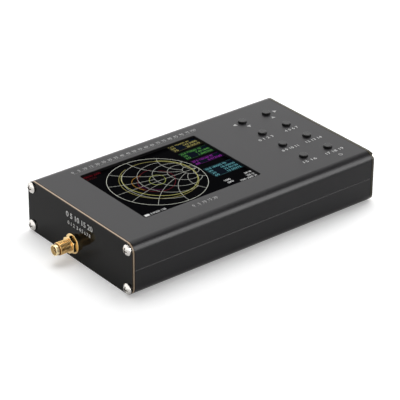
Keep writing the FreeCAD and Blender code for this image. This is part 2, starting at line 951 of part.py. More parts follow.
save("display_frame", display_frame())
save("display_backlight", pocket_plate(module_base + module_floor, glass_base))
save("display_glass", pocket_plate(glass_base, glass_top))
save("display_gasket", display_gasket())
save("display_pad", display_pad())
save("display_ribbon", display_ribbon())
save("ribbon_socket", ribbon_socket())

for number, (key_x, key_y) in enumerate(key_places(), start=1):
    save("key_cap_" + str(number), key_cap(key_x, key_y))
    save("key_stem_" + str(number), key_stem(key_x, key_y))
save("switch_housings", Part.makeCompound([switch_housing(x, y) for x, y in key_places()]))
save("switch_covers", Part.makeCompound([switch_cover_plate(x, y) for x, y in key_places()]))
save("switch_domes", Part.makeCompound([switch_dome(x, y) for x, y in key_places()]))

save("board_socket", board_socket())
save("board_header", board_header())
save("header_pins", header_pins())

save("battery", battery())
save("battery_pad", battery_pad())
save("battery_strip", battery_strip())
save("battery_leads", battery_leads())
save("battery_plug", battery_plug())
save("battery_socket", battery_socket())

save("shield_frame", shield_frame())
save("shield_lid", shield_lid())
save("rf_synthesizer", chip(shield_x + synthesizer_offset, shield_y, synthesizer_size, chip_height))
save("rf_mixer", chip(shield_x + mixer_offset, shield_y, mixer_size, chip_height))
save("processor", chip(processor_x, processor_y, processor_size, processor_height))
save("charger_chip", chip(charger_x, power_y, charger_size, chip_height))
save("power_inductor", power_inductor())

save("usb_shell", usb_shell())
save("usb_tongue", usb_tongue())
save("led_holder", led_holder())
save("charge_led", charge_led())
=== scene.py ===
import json
import math

import bmesh
import bpy
from mathutils import Matrix, Vector


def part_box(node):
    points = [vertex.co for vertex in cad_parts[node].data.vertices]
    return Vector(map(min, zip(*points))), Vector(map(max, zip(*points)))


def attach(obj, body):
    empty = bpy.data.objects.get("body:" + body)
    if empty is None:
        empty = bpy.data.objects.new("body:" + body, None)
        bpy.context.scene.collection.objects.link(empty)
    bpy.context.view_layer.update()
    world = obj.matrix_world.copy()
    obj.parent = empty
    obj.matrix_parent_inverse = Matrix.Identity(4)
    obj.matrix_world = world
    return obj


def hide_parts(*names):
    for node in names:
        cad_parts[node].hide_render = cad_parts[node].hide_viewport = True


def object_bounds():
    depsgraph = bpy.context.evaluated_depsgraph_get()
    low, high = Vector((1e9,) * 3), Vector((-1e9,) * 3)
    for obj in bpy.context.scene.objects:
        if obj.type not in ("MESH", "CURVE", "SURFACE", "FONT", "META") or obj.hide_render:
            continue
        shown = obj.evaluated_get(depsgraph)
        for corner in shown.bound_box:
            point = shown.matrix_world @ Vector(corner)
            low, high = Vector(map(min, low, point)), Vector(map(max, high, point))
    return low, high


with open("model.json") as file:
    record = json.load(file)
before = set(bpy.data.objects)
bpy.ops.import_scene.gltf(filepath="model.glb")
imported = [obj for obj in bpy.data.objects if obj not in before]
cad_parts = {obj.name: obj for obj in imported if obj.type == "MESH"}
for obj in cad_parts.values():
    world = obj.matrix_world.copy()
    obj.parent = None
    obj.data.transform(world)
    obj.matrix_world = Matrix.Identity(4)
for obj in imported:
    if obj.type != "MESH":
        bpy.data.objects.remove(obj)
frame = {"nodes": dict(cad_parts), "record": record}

nodes = frame["nodes"]
cad_low, cad_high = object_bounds()
mm = 0.001


# ---------------------------------------------------------------- case halves
# Two extruded aluminium halves, glass-bead blasted and dyed black in the anodising bath.
# They hook together half way up and are held by the end panels alone.
noise_reach = (0.3, 0.7)
shader_sockets = {
    "metallic": "Metallic", "specular": "Specular IOR Level", "transmission": "Transmission Weight"}


def feed(tree, entry, source):
    """Links a socket into an entry, or sets the entry to a plain value."""
    if isinstance(source, bpy.types.NodeSocket):
        tree.links.new(source, entry)
    else:
        entry.default_value = source


def calculated(tree, operation, *operands):
    """A Math node's value. Each operand is a socket or a number."""
    node = tree.nodes.new("ShaderNodeMath")
    node.operation = operation
    for entry, operand in zip(node.inputs, operands):
        feed(tree, entry, operand)
    return node.outputs[0]


def mixed(tree, kind, share, first, second):
    """A Mix node's result. Each entry is a socket, a number or a colour."""
    node = tree.nodes.new("ShaderNodeMix")
    node.data_type = kind
    for name, source in (("Factor", share), ("A", first), ("B", second)):
        feed(tree, node.inputs[name], source)
    return node.outputs["Result"]


def ranged(tree, source, reach, result=(0.0, 1.0), course="LINEAR"):
    """A Map Range node's value, which takes the reach of a source to the result's two ends."""
    node = tree.nodes.new("ShaderNodeMapRange")
    node.interpolation_type = course
    for name, value in zip(("From Min", "From Max", "To Min", "To Max"), (*reach, *result)):
        node.inputs[name].default_value = value
    tree.links.new(source, node.inputs["Value"])
    return node.outputs["Result"]


def variation_group():
    """Grain and patches that every finish below is built on."""
    tree = bpy.data.node_groups.new("surface_variation", "ShaderNodeTree")
    tree.interface.new_socket("Vector", in_out="INPUT", socket_type="NodeSocketVector")
    for name in ("Grain Size", "Patch Size"):
        tree.interface.new_socket(name, in_out="INPUT", socket_type="NodeSocketFloat")
    for name in ("Grain", "Patch"):
        tree.interface.new_socket(name, in_out="OUTPUT", socket_type="NodeSocketFloat")
    entry = tree.nodes.new("NodeGroupInput")
    leave = tree.nodes.new("NodeGroupOutput")
    for size_name, out_name, detail in (("Grain Size", "Grain", 2.0), ("Patch Size", "Patch", 3.0)):
        noise = tree.nodes.new("ShaderNodeTexNoise")
        noise.inputs["Detail"].default_value = detail
        tree.links.new(entry.outputs["Vector"], noise.inputs["Vector"])
        fineness = calculated(tree, "DIVIDE", 1.0, entry.outputs[size_name])
        tree.links.new(fineness, noise.inputs["Scale"])
        tree.links.new(noise.outputs["Fac"], leave.inputs[out_name])
    return tree


surface_variation = variation_group()


def surface(name, dark, light, roughness, spread, grain_size, grain_depth, patch_size, **sockets):
    """A finish whose colour and gloss drift between two close values, over a fine grain."""
    material = bpy.data.materials.new(name)
    material.use_nodes = True
    tree = material.node_tree
    shader = tree.nodes["Principled BSDF"]
    for socket, value in sockets.items():
        shader.inputs[shader_sockets[socket]].default_value = value
    place = tree.nodes.new("ShaderNodeTexCoord")
    drift = tree.nodes.new("ShaderNodeGroup")
    drift.node_tree = surface_variation
    drift.inputs["Grain Size"].default_value = grain_size
    drift.inputs["Patch Size"].default_value = patch_size
    patch = drift.outputs["Patch"]
    tint = mixed(tree, "RGBA", patch, (*dark, 1), (*light, 1))
    gloss = ranged(tree, patch, noise_reach, (roughness - spread, roughness + spread))
    bump = tree.nodes.new("ShaderNodeBump")
    bump.inputs["Strength"].default_value = 1.0
    bump.inputs["Distance"].default_value = grain_depth
    tree.links.new(place.outputs["Object"], drift.inputs["Vector"])
    tree.links.new(drift.outputs["Grain"], bump.inputs["Height"])
    tree.links.new(tint, shader.inputs["Base Color"])
    tree.links.new(gloss, shader.inputs["Roughness"])
    tree.links.new(bump.outputs["Normal"], shader.inputs["Normal"])
    return material


def dress(material, *names):
    """Gives carried-over nodes a finish."""
    for name in names:
        nodes[name].material_slots[0].material = material


anodised = surface(
    "anodised", (0.0094, 0.0087, 0.0100), (0.0116, 0.0109, 0.0122), 0.32, 0.02,
    0.16 * mm, 0.003 * mm, 22 * mm, specular=0.17)
dress(anodised, "top_shell", "bottom_shell")


# ---------------------------------------------------------------- end panels
# Circuit-board blanks, 1.6 mm thick: glossy black solder mask on both faces. They are routed to
# outline, so the bare laminate shows along the edge. The same laminate is painted in two tones: tan
# at the front end, lifted by a painted highlight of a glint along that edge, and dark at the rear
# end, which is painted shade. Next to the case both edges darken further: the laminate's dark skin
# together with painted shade in the joint.
mask_black = (0.0046, 0.0042, 0.0036)
mask_worn = (0.0062, 0.0058, 0.0050)
edge_limit = 0.5
laminate_grain = 0.12 * mm
fleck_tones = (0.8, 1.15)
inner_end, core_start, core_end, outer_start = 0.20, 0.28, 0.66, 0.74


def shader_of(material):
    """A material's tree and shader, and the sockets that feed the shader's colour and roughness."""
    tree = material.node_tree
    shader = tree.nodes["Principled BSDF"]
    feeds = [shader.inputs[name].links[0].from_socket for name in ("Base Color", "Roughness")]
    return tree, shader, *feeds


def board_finish(name, inner_and_joint_shade, core_and_painted_light, outer):
    """Black mask on the faces. The edge goes from the inner tone at the case, which carries painted
    shade in the joint, through the core tone, which carries the painted light of its end (a glint
    at the front, shade at the rear), to the outer tone.
    """
    material = surface(
        name, mask_black, mask_worn, 0.09, 0.02, 0.6 * mm, 0.0012 * mm, 15 * mm, specular=0.075)
    tree, shader, mask, _ = shader_of(material)
    place = tree.nodes.new("ShaderNodeTexCoord")
    facing = tree.nodes.new("ShaderNodeSeparateXYZ")
    tree.links.new(place.outputs["Normal"], facing.inputs[0])
    side_on = calculated(tree, "ABSOLUTE", facing.outputs["X"])
    edge = calculated(tree, "LESS_THAN", side_on, edge_limit)
    across = tree.nodes.new("ShaderNodeSeparateXYZ")
    tree.links.new(place.outputs["Object"], across.inputs[0])
    from_middle = calculated(tree, "ABSOLUTE", across.outputs["X"])
    share = ranged(tree, from_middle, [corner.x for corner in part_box("rear_panel")])
    tones = tree.nodes.new("ShaderNodeValToRGB")
    stops = tones.color_ramp.elements
    stops[0].position, stops[1].position = inner_end, core_start
    stops[0].color, stops[1].color = (*inner_and_joint_shade, 1), (*core_and_painted_light, 1)
    stops.new(core_end).color = (*core_and_painted_light, 1)
    stops.new(outer_start).color = (*outer, 1)
    tree.links.new(share, tones.inputs["Fac"])
    fibre = tree.nodes.new("ShaderNodeTexNoise")
    fibre.inputs["Scale"].default_value = 1 / laminate_grain
    tree.links.new(place.outputs["Object"], fibre.inputs["Vector"])
    flecks = ranged(tree, fibre.outputs["Fac"], noise_reach, fleck_tones)
    mottled = tree.nodes.new("ShaderNodeVectorMath")
    mottled.operation = "SCALE"
    tree.links.new(tones.outputs["Color"], mottled.inputs[0])
    tree.links.new(flecks, mottled.inputs["Scale"])
    covered = mixed(tree, "RGBA", edge, mask, mottled.outputs["Vector"])
    tree.links.new(covered, shader.inputs["Base Color"])
    return material


# Front end: the tan core is the laminate lifted by a painted highlight of a glint; the darkest tone
# is painted shade in the joint.
front_board_with_glint = board_finish(
    "front_board_with_glint", (0.020, 0.012, 0.007), (0.42, 0.32, 0.23), (0.035, 0.025, 0.015))
dress(front_board_with_glint, "front_panel")
# Rear end: the same laminate, darkened as painted shade, with painted shade in the joint as well.
rear_board_shaded = board_finish(
    "rear_board_shaded", (0.012, 0.010, 0.006), (0.075, 0.066, 0.048), (0.020, 0.017, 0.012))
dress(rear_board_shaded, "rear_panel")


# ---------------------------------------------------------------- panel screws
# Eight M3 pan-head machine screws with a cross recess, cold headed from steel and nickel plated.
# Four go through each end panel into the corner channels of the two case halves.
nickel = surface(
    "nickel", (0.50, 0.48, 0.455), (0.60, 0.58, 0.55), 0.18, 0.04,
    0.3 * mm, 0.002 * mm, 2 * mm, metallic=1.0)
dress(nickel, "front_panel_screws", "rear_panel_screws")


# ---------------------------------------------------------------- test port
# A coaxial socket turned from brass and gold plated: a satin nose, a relief groove and 36 threads
# to the inch, then a square flange and four legs soldered to the main board. Its nut and washer
# clamp it to the front panel.
thread_pitch = 25.4 / 36 * mm
thread_depth = 0.34 * mm
root_share = 0.12
crest_share = 0.38
steps_in_pitch = 12
round_steps = 48
nose_radius = 2.7 * mm
nose_length = 1.1 * mm
nose_lip = 0.12 * mm
groove_radius = 2.5 * mm
groove_length = 0.5 * mm
mouth_radius = 2.3 * mm
bore_radius = 2.05 * mm
grip_radius = 2.95 * mm
flange_depth = 2.0 * mm
leg_width = 1.2 * mm
nut_chamfer = 0.35 * mm
corner_cut = 0.05 * mm
edge_round = 0.16 * mm
edge_steps = 4
washer_bore = 3.3 * mm
sharp_edge = math.radians(32)
# Painted shade in the thread: the gold darkens to this brown from just under the crest to near the
# root.
crest_band = 0.03 * mm
root_shade_band = 0.8 * thread_depth
thread_root_shade = (0.12, 0.045, 0.010)
# Painted highlight: the nose and mouth take a paler gold than the thread, which lightens the
# shadowed mouth.
nose_highlight_gold = (0.97, 0.80, 0.48)
nose_roughness = 0.38

port_low, port_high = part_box("test_port_body")
nut_low, nut_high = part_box("test_port_nut")
washer_low, washer_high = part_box("test_port_washer")
board_low, board_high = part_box("main_board")
flange_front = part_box("front_panel")[1].x
flange_back = flange_front + flange_depth
insulator_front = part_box("test_port_insulator")[0].x
port_axis = (nut_low + nut_high) / 2
port_mount = next(mount for mount in frame["record"]["mounts"] if mount["name"] == "test_port")
crest_radius = port_mount["dims"]["r_mm"] * mm
groove_end = port_low.x + nose_length + groove_length


def finished(name, parts, body):
    """One piece from (mesh, material) pairs, riding on a body."""
    whole = bpy.data.meshes.new(name)
    build = bmesh.new()
    for index, (mesh, material) in enumerate(parts):
        whole.materials.append(material)
        first = len(build.faces)
        build.from_mesh(mesh)
        build.faces.ensure_lookup_table()
        for face in build.faces[first:]:
            face.material_index = index
    build.to_mesh(whole)
    build.free()
    piece = bpy.data.objects.new(name, whole)
    bpy.context.scene.collection.objects.link(piece)
    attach(piece, body)
    return piece


def mesh_of(build, smooth=True):
    """A mesh from a bmesh, smooth between its sharp edges."""
    bmesh.ops.recalc_face_normals(build, faces=build.faces)
    mesh = bpy.data.meshes.new("made")
    build.to_mesh(mesh)
    build.free()
    if smooth:
        mesh.polygons.foreach_set("use_smooth", [True] * len(mesh.polygons))
        mesh.set_sharp_from_angle(angle=sharp_edge)
    return mesh


def thread_radius(x, turn):
    """A 60 degree thread with flat crests, cut back by the lead-in beside the groove."""
    wave = (x / thread_pitch - turn) % 1.0
    flank = abs(wave * 2 - 1)
    height = min(1.0, max(0.0, (flank - root_share) / (1 - root_share - crest_share)))
    free = crest_radius - thread_depth * (1 - height)
    return min(free, groove_radius + (x - groove_end))


def about_port(stations, steps=round_steps):
    """Rings about the port's axis, the last joined to the first.

    A station is a place along X with its radius, or with a rule that gives it from place and turn.
    """
    build = bmesh.new()
    rings = []
    for x, reach in stations:
        ring = []
        for step in range(steps):
            turn = step / steps
            radius = reach(x, turn) if callable(reach) else reach
            angle = 2 * math.pi * turn
            y = port_axis.y + radius * math.cos(angle)
            z = port_axis.z + radius * math.sin(angle)
            ring.append(build.verts.new((x, y, z)))
        rings.append(ring)
    for index, ring in enumerate(rings):
        following = rings[(index + 1) % len(rings)]
        for step in range(steps):
            beside = (step + 1) % steps
            build.faces.new((ring[step], ring[beside], following[beside], following[step]))
    return mesh_of(build)


def turned_barrel():
    """The barrel with its nose, relief groove and turns of thread."""
    count = round((nut_low.x - groove_end) / thread_pitch * steps_in_pitch)
    thread = [groove_end + (nut_low.x - groove_end) * step / count for step in range(count + 1)]
    return about_port([
        (port_low.x, mouth_radius),
        (port_low.x, nose_radius - nose_lip),
        (port_low.x + nose_lip, nose_radius),
        (port_low.x + nose_length, nose_radius),
        (port_low.x + nose_length, groove_radius),
        *((x, thread_radius) for x in thread),
        (nut_low.x, grip_radius),
        (nut_high.x, grip_radius),
        (nut_high.x, crest_radius),
        (flange_back, crest_radius),
        (flange_back, bore_radius),
        (insulator_front, bore_radius),
        (insulator_front, mouth_radius)])


def flange_reach(x, turn):
    """The square flange's outline."""
    angle = 2 * math.pi * turn
    return (port_high.y - port_low.y) / 2 / max(abs(math.cos(angle)), abs(math.sin(angle)))


def flange_plate():
    """The square flange, with a round hole for the barrel."""
    return about_port([
        (flange_front, flange_reach), (flange_back, flange_reach),
        (flange_back, crest_radius), (flange_front, crest_radius)])


def rounded_by(depth):
    """How far a rounded edge stands back, at this depth behind the face."""
    left = max(0.0, edge_round - depth)
    return edge_round - math.sqrt(edge_round ** 2 - left ** 2)


def rounded_places(front, back):
    """Places along X that follow the rounds at the front and at the back."""
    depths = [edge_round * step / edge_steps for step in range(edge_steps + 1)]
    return [front + depth for depth in depths], [back - depth for depth in reversed(depths)]


def nut_reach(x, turn):
    """A hexagon with a turned chamfer at the front and small rounds along its edges."""
    half = (nut_high.y - nut_low.y) / 2
    corner = half / math.cos(math.pi / 6)
    angle = (2 * math.pi * turn + math.pi / 6) % (math.pi / 3) - math.pi / 6
    depth = x - nut_low.x
    outline = min(half / math.cos(angle), corner - corner_cut, corner - nut_chamfer + depth)
    return outline - rounded_by(depth) - rounded_by(nut_high.x - x)


def hexagon_nut():
    """The nut, clear of the barrel's grip cylinder."""
    front, back = rounded_places(nut_low.x, nut_high.x)
    outline = [(x, nut_reach) for x in (*front, nut_low.x + nut_chamfer, *back)]
    outline = [(nut_low.x, grip_radius), *outline, (nut_high.x, grip_radius)]
    return about_port(outline, 2 * round_steps)


def washer_reach(x, turn):
    """A disc with rounded rims."""
    outline = (washer_high.y - washer_low.y) / 2
    return outline - rounded_by(x - washer_low.x) - rounded_by(washer_high.x - x)


def flat_washer():
    """The washer between nut and panel."""
    front, back = rounded_places(washer_low.x, washer_high.x)
    outline = [(x, washer_reach) for x in (*front, *back)]
    return about_port([(washer_low.x, washer_bore), *outline, (washer_high.x, washer_bore)])


def box_mesh(low, high):
    """A block between two corners."""
    build = bmesh.new()
    bmesh.ops.create_cube(build, size=1)
    size = Vector(high) - Vector(low)
    middle = (Vector(high) + Vector(low)) / 2
    build.transform(Matrix.Translation(middle) @ Matrix.Diagonal((*size, 1)))
    return mesh_of(build, smooth=False)


gold = surface(
    "gold", (0.74, 0.52, 0.23), (0.90, 0.68, 0.36), 0.13, 0.04,
    0.25 * mm, 0.001 * mm, 2.5 * mm, metallic=1.0)


def thread_finish():
    """Gold that is satin on the nose, painted paler there as a highlight, and darkened by painted
    shade towards the root of the thread.
    """
    material = surface(
        "gold_thread", (0.74, 0.47, 0.17), (0.92, 0.66, 0.31), 0.10, 0.03,
        0.25 * mm, 0.001 * mm, 2.5 * mm, metallic=1.0)
    tree, shader, plate, gloss = shader_of(material)
    place = tree.nodes.new("ShaderNodeTexCoord")
    across = tree.nodes.new("ShaderNodeVectorMath")
    across.operation = "MULTIPLY_ADD"
    across.inputs[1].default_value = (0, 1, 1)
    across.inputs[2].default_value = (0, -port_axis.y, -port_axis.z)
    radius = tree.nodes.new("ShaderNodeVectorMath")
    radius.operation = "LENGTH"
    along = tree.nodes.new("ShaderNodeSeparateXYZ")
    tree.links.new(place.outputs["Object"], across.inputs[0])
    tree.links.new(across.outputs["Vector"], radius.inputs[0])
    tree.links.new(place.outputs["Object"], along.inputs[0])
    # Painted shade: the share of the root's dark brown, growing from the crest inwards.
    depth = ranged(
        tree, radius.outputs["Value"], (crest_radius - crest_band, crest_radius - root_shade_band))
    threaded = calculated(tree, "GREATER_THAN", along.outputs["X"], groove_end)
    mask = calculated(tree, "MULTIPLY", depth, threaded)
    root_shaded = mixed(tree, "RGBA", mask, plate, (*thread_root_shade, 1))
    colour = mixed(tree, "RGBA", threaded, (*nose_highlight_gold, 1), root_shaded)
    tree.links.new(colour, shader.inputs["Base Color"])
    satin = mixed(tree, "FLOAT", threaded, nose_roughness, gloss)
    tree.links.new(satin, shader.inputs["Roughness"])
    return material


port_parts = [(turned_barrel(), thread_finish()), (flange_plate(), gold)]
for side_y in (port_low.y, port_high.y - leg_width):
    for leg_z in (board_low.z - leg_width, board_high.z):
        leg_low = (flange_back, side_y, leg_z)
        leg_high = (port_high.x, side_y + leg_width, leg_z + leg_width)
        port_parts.append((box_mesh(leg_low, leg_high), gold))
test_port = finished("test_port_barrel", port_parts, "case")
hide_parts("test_port_body")
nut = finished("port_nut", [(hexagon_nut(), gold)], "case")
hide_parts("test_port_nut")
washer = finished("port_washer", [(flat_washer(), gold)], "case")
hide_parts("test_port_washer")

dress(gold, "test_port_contact")
white_insulator = surface(
    "white_insulator", (0.78, 0.78, 0.76), (0.84, 0.84, 0.82), 0.45, 0.05,
    0.2 * mm, 0.002 * mm, 2 * mm)
dress(white_insulator, "test_port_insulator")


# ---------------------------------------------------------------- screen module
# A 3.5 inch colour screen: steel tray, light guide, and the glass cell under a dust gasket.
# Foam carries it on the upper board and a flat flex joins it to its socket.
tray_steel = surface(
    "tray_steel", (0.52, 0.52, 0.52), (0.60, 0.60, 0.60), 0.32, 0.05,
    0.2 * mm, 0.002 * mm, 9 * mm, metallic=1.0)
dress(tray_steel, "display_frame")

light_guide = surface(
    "light_guide", (0.80, 0.82, 0.84), (0.86, 0.88, 0.90), 0.25, 0.04,
    0.3 * mm, 0.001 * mm, 10 * mm)
dress(light_guide, "display_backlight")

cell_sheen = 0.001
screen_glass = surface(
    "screen_glass", (0.0010, 0.0010, 0.0014), (0.0014, 0.0014, 0.0020), 0.10, 0.02,
    1.5 * mm, 0.0002 * mm, 30 * mm, specular=cell_sheen)
dress(screen_glass, "display_glass")

black_foam = surface(
    "black_foam", (0.010, 0.010, 0.010), (0.022, 0.022, 0.022), 0.85, 0.05,
    0.3 * mm, 0.05 * mm, 3 * mm)
dress(black_foam, "display_gasket", "display_pad", "battery_pad")

amber_flex = surface(
    "amber_flex", (0.42, 0.17, 0.03), (0.50, 0.22, 0.05), 0.30, 0.05,
    0.5 * mm, 0.002 * mm, 6 * mm)
dress(amber_flex, "display_ribbon")

ivory_plastic = surface(
    "ivory_plastic", (0.66, 0.60, 0.47), (0.72, 0.66, 0.53), 0.45, 0.05,
    0.15 * mm, 0.004 * mm, 5 * mm)
dress(ivory_plastic, "ribbon_socket", "battery_plug", "battery_socket")


# ---------------------------------------------------------------- screen picture
# What the lit cell shows: an impedance chart, a few sweeps across it and columns of plain readings.
# Each mark is a thin lit shape that lies on the glass.
picture_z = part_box("display_glass")[1].z
picture_depth = 0.02 * mm
chart_centre = Vector((-24.88, 3.47)) * mm
chart_radius = 23.53 * mm
chart_skew = -0.47 * mm
grid_width = 0.16 * mm
trace_width = 0.20 * mm
unlit_cell = (0.002, 0.002, 0.002)
arc_steps = 48
rim_place = 1
grid_reaches = ((0.2, 1.0), (0.5, 2.0), (1.0, 5.0), (2.0, 5.0), (5.0, 40.0))


def glow(name, colour):
    """Light from the cell through a coloured mark."""
    material = bpy.data.materials.new(name)
    material.use_nodes = True
    shader = material.node_tree.nodes["Principled BSDF"]
    shader.inputs["Base Color"].default_value = (*unlit_cell, 1)
    shader.inputs["Specular IOR Level"].default_value = cell_sheen
    shader.inputs["Emission Color"].default_value = (*colour, 1)
    shader.inputs["Emission Strength"].default_value = 1.0
    return material


def strip(points, width, depth, closed=False):
    """A flat closed ribbon of even width along plan points, standing on the plane z = 0."""
    count = len(points)
    build = bmesh.new()
    rows = []
    for index in range(count):
        if closed:
            before, after = points[index - 1], points[(index + 1) % count]
        else:
            before, after = points[max(index - 1, 0)], points[min(index + 1, count - 1)]
        along = (Vector(after) - Vector(before)).normalized()
        aside = Vector((-along.y, along.x)) * width / 2
        spot = Vector(points[index])
        row = []
        for offset, z in ((aside, 0), (-aside, 0), (-aside, depth), (aside, depth)):
            flat = spot + offset
            row.append(build.verts.new((flat.x, flat.y, z)))
        rows.append(row)
    spans = range(count) if closed else range(count - 1)
    for index in spans:
        row, following = rows[index], rows[(index + 1) % count]
        for side in range(4):
            beside = (side + 1) % 4
            build.faces.new((row[side], row[beside], following[beside], following[side]))
    if not closed:
        build.faces.new(rows[0])
        build.faces.new(rows[-1])
    return mesh_of(build, smooth=False)


def arc_points(centre, radius, start, sweep, steps):
    """Plan points along part of a circle, angles in radians."""
    found = []
    for step in range(steps + 1):
        angle = start + sweep * step / steps
        found.append((centre[0] + radius * math.cos(angle), centre[1] + radius * math.sin(angle)))
    return found


def reflection(resistance, reactance):
    """Where an impedance lies on the chart, in the unit circle."""
    spot = (complex(resistance, reactance) - 1) / (complex(resistance, reactance) + 1)
    return spot.real, spot.imag


def chart_grid():
    """Circles of even resistance and arcs of even reactance, each stopped where its reach ends."""
    width = grid_width / chart_radius
    meshes = [strip([(-1, 0), (1, 0)], width, 1)]
    rim = arc_points((0, 0), 1, 0, 2 * math.pi, 2 * arc_steps)[:-1]
    meshes.append(strip(rim, width, 1, closed=True))
    for value, reach in grid_reaches:
        radius = 1 / (1 + value)
        x, y = reflection(value, reach)
        start = math.atan2(y, x - 1 + radius)
        ring = arc_points((1 - radius, 0), radius, start, 2 * (math.pi - start), arc_steps)
        meshes.append(strip(ring, width, 1))
        for side in (1, -1):
            centre = (1, side / value)
            x, y = reflection(0, side * value)
            start = math.atan2(y - centre[1], x - centre[0])
            x, y = reflection(reach, side * value)
            sweep = math.atan2(y - centre[1], x - centre[0]) - start
            sweep = (sweep + math.pi) % (2 * math.pi) - math.pi
            arc = arc_points(centre, 1 / value, start, sweep, arc_steps // 2)
            meshes.append(strip(arc, width, 1))
    return meshes


def on_chart(meshes):
    """Unit-circle meshes, laid on the glass at the chart's place."""
    place = Matrix.Translation((chart_centre.x, chart_centre.y, picture_z))
    scale = Matrix((
        (chart_radius, chart_skew, 0, 0), (chart_skew, chart_radius, 0, 0),
        (0, 0, picture_depth, 0), (0, 0, 0, 1)))
    for mesh in meshes:
        mesh.transform(place @ scale)
    return meshes


grid_light = glow("grid_light", (0.52, 0.53, 0.48))
rim_light = glow("rim_light", (0.80, 0.82, 0.72))
grid_parts = [(mesh, grid_light) for mesh in on_chart(chart_grid())]
grid_parts[rim_place] = (grid_parts[rim_place][0], rim_light)
finished("chart_grid", grid_parts, "case")


steps_in_turn = 72
sweep_height = 2


def sweep_points(radius, wobble, lobes, start, turns, centre):
    """A reflection sweep: a slow spiral whose radius swings as it turns."""
    steps = round(steps_in_turn * abs(turns))
    found = []
    for step in range(steps + 1):
        share = step / steps
        angle = start + 2 * math.pi * turns * share
        reach = radius[0] + (radius[1] - radius[0]) * share + wobble * math.sin(lobes * angle)
        found.append((centre[0] + reach * math.cos(angle), centre[1] + reach * math.sin(angle)))
    return found


sweeps = [
    ("olive_sweep", (0.34, 0.31, 0.11), (0.80, 0.79), 0.01, 2, 1.9, 0.97, (0.07, 0.04)),
    ("yellow_sweep", (0.56, 0.55, 0.18), (0.76, 0.75), 0.01, 3, 2.3, 0.80, (0.13, 0.08)),
    ("orange_sweep", (0.40, 0.20, 0.03), (0.50, 0.42), 0.04, 3, 3.5, -0.26, (0.00, 0.02)),
    ("red_sweep", (0.13, 0.010, 0.018), (0.46, 0.38), 0.05, 2, 1.2, 0.95, (0.02, 0.02)),
    ("violet_sweep", (0.08, 0.012, 0.07), (0.40, 0.34), 0.02, 3, 2.9, 0.25, (0.00, 0.00)),
    ("green_sweep", (0.36, 0.40, 0.10), (0.20, 0.17), 0.02, 2, 0.3, 0.97, (0.04, 0.04)),
]
trace_parts = []
for name, colour, radius, wobble, lobes, start, turns, centre in sweeps:
    points = sweep_points(radius, wobble, lobes, start, turns, centre)
    mesh = strip(points, trace_width / chart_radius, sweep_height)
    trace_parts.append((on_chart([mesh])[0], glow(name, colour)))
finished("chart_sweeps", trace_parts, "case")


curve_half = 0.5
curve_steps = 3


def figures(body, height, depth, weight=0.0):
    """A line of plain figures as a flat closed mesh, its left foot at the origin."""
    curve = bpy.data.curves.new("figures", "FONT")
    curve.body = body
    curve.resolution_u = curve_steps
    curve.offset = weight
    curve.extrude = curve_half
    text = bpy.data.objects.new("figures", curve)
    bpy.context.scene.collection.objects.link(text)
    bpy.context.view_layer.update()
    worked_out = text.evaluated_get(bpy.context.evaluated_depsgraph_get())
    mesh = bpy.data.meshes.new_from_object(worked_out)
    bpy.data.objects.remove(text)
    spots = [vertex.co for vertex in mesh.vertices]
    left = min(spot.x for spot in spots)
    foot = min(spot.y for spot in spots)
    tall = max(spot.y for spot in spots) - foot
    scale = height / tall
    foot_at_origin = Matrix.Translation((-left, -foot, curve_half))
    mesh.transform(Matrix.Diagonal((scale, scale, depth, 1)) @ foot_at_origin)
    return mesh


def width_of(mesh):
    """A mesh's length along X."""
    spots = [vertex.co.x for vertex in mesh.vertices]
    return max(spots) - min(spots)


def spread_figures(body, height, depth, width, place, weight=0.0):
    """A line of plain figures, stretched to a width and put in place."""
    mesh = figures(body, height, depth, weight)
    mesh.transform(place @ Matrix.Diagonal((width / width_of(mesh), 1, 1, 1)))
    return mesh


def reading(body, left, right, foot, height, material):
    """One line of readings on the glass, spread from left to right, all in millimetres."""
    place = Matrix.Translation((left * mm, foot * mm, picture_z))
    return spread_figures(body, height * mm, picture_depth, (right - left) * mm, place), material


frame_line = 0.16 * mm
ground_depth = picture_depth / 4
border_share = 0.30

# Places on the screen, in millimetres from the case's middle.
line_height = 1.5
line_pitch = 2.4
frame_left, frame_right = -0.25, 16.5
frame_gap = 0.45
label_start, label_end = 0.25, 2.7
heading_end = 12.5
value_start, value_end = 7.8, 15.9
blocks = [
    ((0.40, 0.35, 0.10), 26.8, "12.5 142500 30", (("50", "142.5005"), ("75", "28.50510"))),
    ((0.09, 0.32, 0.06), 17.1, "25.0 710502 10", (("20", "7.051840"), ("10", "1.845250"))),
    ((0.28, 0.02, 0.34), 7.6, "37.5 123160 97", (("60", "0.973160"),)),
    ((0.13, 0.38, 0.42), -2.2, "50.0 183502 90",
     (("30", "18.35020"), ("20", "22.90150"), ("60", "10.50375"))),
]
block_ground = glow("block_ground", (0.0010, 0.0035, 0.0090))
reading_parts = []
for row_colour, top, heading, rows in blocks:
    light = glow("reading_light", row_colour)
    reading_parts.append(reading(heading, label_start, heading_end, top, line_height, light))
    for row, (label, value) in enumerate(rows, start=1):
        foot = top - row * line_pitch
        reading_parts.append(reading(label, label_start, label_end, foot, line_height, light))
        reading_parts.append(reading(value, value_start, value_end, foot, line_height, light))
    border = glow("block_border", [border_share * tone for tone in row_colour])
    low = (frame_left * mm, (top - len(rows) * line_pitch - frame_gap) * mm)
    high = (frame_right * mm, (top + line_height + frame_gap) * mm)
    corners = [low, (high[0], low[1]), high, (low[0], high[1])]
    outline = strip(corners, frame_line, picture_depth, closed=True)
    outline.transform(Matrix.Translation((0, 0, picture_z)))
    reading_parts.append((outline, border))
    ground = box_mesh((*low, picture_z), (*high, picture_z + ground_depth))
    reading_parts.append((ground, block_ground))
red_light = glow("red_reading", (0.12, 0.005, 0.010))
dim_red = glow("dim_red_reading", (0.05, 0.003, 0.005))
white_light = glow("white_reading", (0.72, 0.72, 0.72))
